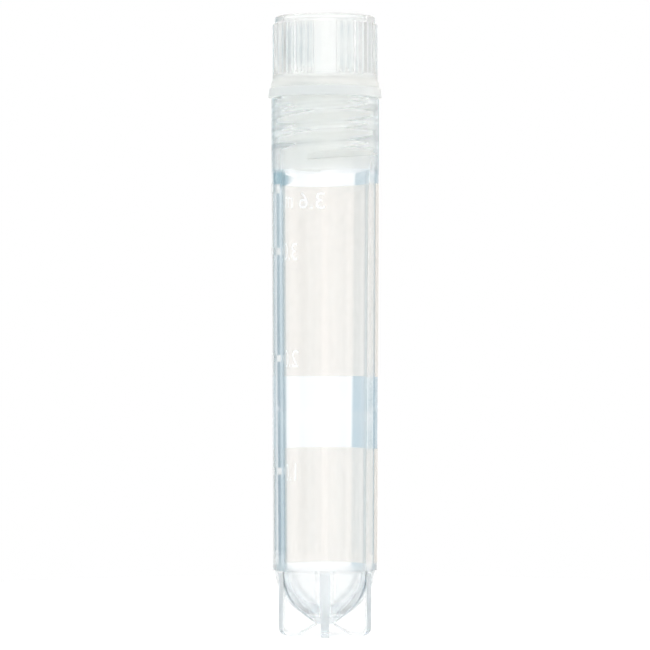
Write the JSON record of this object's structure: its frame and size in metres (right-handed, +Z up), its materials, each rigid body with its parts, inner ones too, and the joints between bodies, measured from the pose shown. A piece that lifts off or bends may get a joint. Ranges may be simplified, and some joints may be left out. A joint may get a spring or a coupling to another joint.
{
  "type": "cryovial",
  "caption": "Self-standing cryogenic storage vial with a star foot, a fluted internally threaded screw cap, a sealing ring and white writing panels.",
  "frame": {"origin": "centre of the star foot, on the surface that the vial stands on", "axes": "+Z up the tube's axis towards the cap, +Y towards the middle of the writing panels"},
  "size_m": [0.0132, 0.0132, 0.072],
  "materials": {
    "clear_polypropylene": "clear, smooth, very slightly blue moulded polypropylene",
    "cap_polypropylene": "clear to slightly milky moulded polypropylene",
    "silicone": "milky translucent silicone, satin",
    "white_ink": "thin matt white print"
  },
  "bodies": {
    "vial": {"vial_tube": "clear_polypropylene", "upper_writing_panel": "white_ink", "lower_writing_panel": "white_ink", "volume_marks": "white_ink"},
    "seal": {"sealing_ring": "silicone"},
    "cap": {"screw_cap": "cap_polypropylene"}
  },
  "joints": [
    {"name": "cap_lift", "type": "slide", "parent": "vial", "child": "seal", "axis": [0, 0, 1], "range_m": [0, 0.009]},
    {"name": "cap_turn", "type": "hinge", "parent": "seal", "child": "cap", "pos_m": [0, 0, 0.0625], "axis": [0, 0, 1], "range_deg": [0, 1440]}
  ],
  "couplings": [
    {"joint": "cap_turn", "follows": "cap_lift", "rad_per_m": 2792.5}
  ]
}
